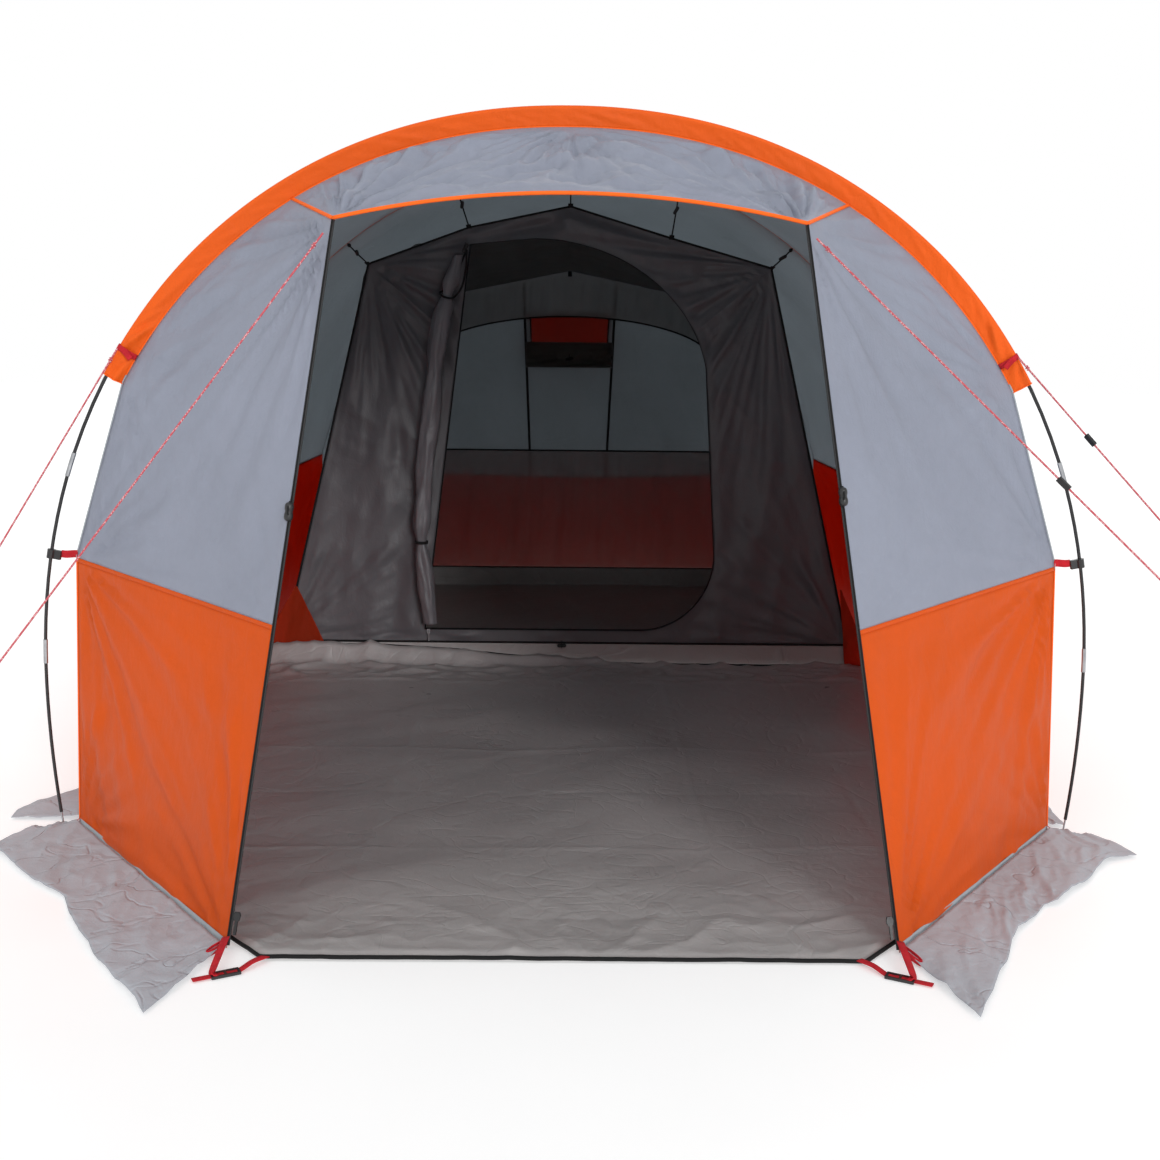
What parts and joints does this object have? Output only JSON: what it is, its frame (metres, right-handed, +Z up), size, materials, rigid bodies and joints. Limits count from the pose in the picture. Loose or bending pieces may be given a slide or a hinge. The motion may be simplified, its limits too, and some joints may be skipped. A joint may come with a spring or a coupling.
{
  "type": "tunnel tent",
  "caption": "Family tunnel tent with hooped poles, a porch with a groundsheet, mud flaps and an inner tent with a D-shaped door.",
  "frame": {"origin": "on the ground, at the middle of the tent's box without its guylines, runners and pegs", "axes": "+Z up; the porch doorway faces -Y and the sleeping end is towards +Y; +X is to the right of a person who looks in through the doorway"},
  "size_m": [4.2812, 5.7, 2.0381],
  "materials": {
    "grey_flysheet": "coated polyester with a faint sheen",
    "orange_flysheet": "coated polyester with a faint sheen",
    "flap_cloth": "creased woven polyethylene",
    "groundsheet_cloth": "creased woven polyethylene, slightly shiny",
    "inner_tent_cloth": "thin breathable polyester",
    "red_webbing": "woven strap",
    "red_cord": "braided cord with pale flecks",
    "black_plastic": "moulded, lightly textured",
    "fibreglass": "smooth black fibreglass rod",
    "steel": "plated steel"
  },
  "bodies": {
    "tent": {"front_bay_roof": "grey_flysheet", "front_left_foot_pin": "steel", "front_left_high_ferrule": "steel", "front_left_low_ferrule": "steel", "front_pole_arch": "fibreglass", "front_pole_left_foot_section": "fibreglass", "front_pole_left_second_section": "fibreglass", "front_pole_right_foot_section": "fibreglass", "front_pole_right_second_section": "fibreglass", "front_pole_sleeve": "orange_flysheet", "front_right_foot_pin": "steel", "front_right_high_ferrule": "steel", "front_right_low_ferrule": "steel", "inner_canopy": "inner_tent_cloth", "inner_door_roll": "inner_tent_cloth", "inner_floor": "groundsheet_cloth", "inner_front_wall": "inner_tent_cloth", "inner_rear_wall": "inner_tent_cloth", "left_clip_webbing": "red_webbing", "left_hoop_guyline": "red_cord", "left_hoop_peg": "steel", "left_lower_wall": "orange_flysheet", "left_mud_flap": "flap_cloth", "left_pole_clip": "black_plastic", "left_porch_guyline": "red_cord", "left_porch_lower_wall": "orange_flysheet", "left_porch_mud_flap": "flap_cloth", "left_porch_peg": "steel", "left_porch_upper_wall": "grey_flysheet", "mid_pole": "fibreglass", "mid_pole_sleeve": "orange_flysheet", "porch_canopy": "grey_flysheet", "porch_groundsheet": "groundsheet_cloth", "rear_bay_roof": "grey_flysheet", "rear_mud_flap": "flap_cloth", "rear_pole": "fibreglass", "rear_pole_sleeve": "orange_flysheet", "rear_wall_lower": "orange_flysheet", "rear_wall_upper": "grey_flysheet", "right_clip_webbing": "red_webbing", "right_hoop_guyline": "red_cord", "right_hoop_peg": "steel", "right_lower_wall": "orange_flysheet", "right_mud_flap": "flap_cloth", "right_pole_clip": "black_plastic", "right_porch_guyline": "red_cord", "right_porch_lower_wall": "orange_flysheet", "right_porch_mud_flap": "flap_cloth", "right_porch_peg": "steel", "right_porch_upper_wall": "grey_flysheet"},
    "left_hoop_runner_body": {"left_hoop_runner": "black_plastic"},
    "right_hoop_runner_body": {"right_hoop_runner": "black_plastic"},
    "left_porch_runner_body": {"left_porch_runner": "black_plastic"},
    "right_porch_runner_body": {"right_porch_runner": "black_plastic"},
    "left_door_slider_body": {"left_door_zip_slider": "black_plastic"},
    "right_door_slider_body": {"right_door_zip_slider": "black_plastic"},
    "inner_door_slider_body": {"inner_door_zip_slider": "steel"},
    "vent_hood_body": {"vent_hood": "orange_flysheet"},
    "left_buckle_body": {"left_corner_buckle": "black_plastic"},
    "right_buckle_body": {"right_corner_buckle": "black_plastic"}
  },
  "joints": [
    {"name": "left_hoop_runner_slide", "type": "slide", "parent": "tent", "child": "left_hoop_runner_body", "axis": [-0.5072, -0.1222, -0.8531], "range_m": [-0.35, 0.453]},
    {"name": "right_hoop_runner_slide", "type": "slide", "parent": "tent", "child": "right_hoop_runner_body", "axis": [0.5716, -0.3856, -0.7243], "range_m": [-0.186, 0.6]},
    {"name": "left_porch_runner_slide", "type": "slide", "parent": "tent", "child": "left_porch_runner_body", "axis": [-0.6003, -0.0997, -0.7936], "range_m": [-0.35, 0.287]},
    {"name": "right_porch_runner_slide", "type": "slide", "parent": "tent", "child": "right_porch_runner_body", "axis": [0.6782, -0.2631, -0.6862], "range_m": [-0.35, 0.6]},
    {"name": "left_door_zip", "type": "slide", "parent": "tent", "child": "left_door_slider_body", "axis": [0.1153, 0.2522, 0.9608], "range_m": [0, 1.5]},
    {"name": "right_door_zip", "type": "slide", "parent": "tent", "child": "right_door_slider_body", "axis": [-0.1153, 0.2522, 0.9608], "range_m": [0, 1.5]},
    {"name": "inner_door_zip", "type": "slide", "parent": "tent", "child": "inner_door_slider_body", "axis": [1, 0, 0], "range_m": [0, 0.86]},
    {"name": "vent_hood_hinge", "type": "hinge", "parent": "tent", "child": "vent_hood_body", "pos_m": [0, 2.1455, 1.5], "axis": [1, 0, 0], "range_deg": [-22, 35]},
    {"name": "left_buckle_slide", "type": "slide", "parent": "tent", "child": "left_buckle_body", "axis": [-0.8829, -0.4695, 0], "range_m": [-0.015, 0.04]},
    {"name": "right_buckle_slide", "type": "slide", "parent": "tent", "child": "right_buckle_body", "axis": [0.8829, -0.4695, 0], "range_m": [-0.015, 0.04]}
  ]
}
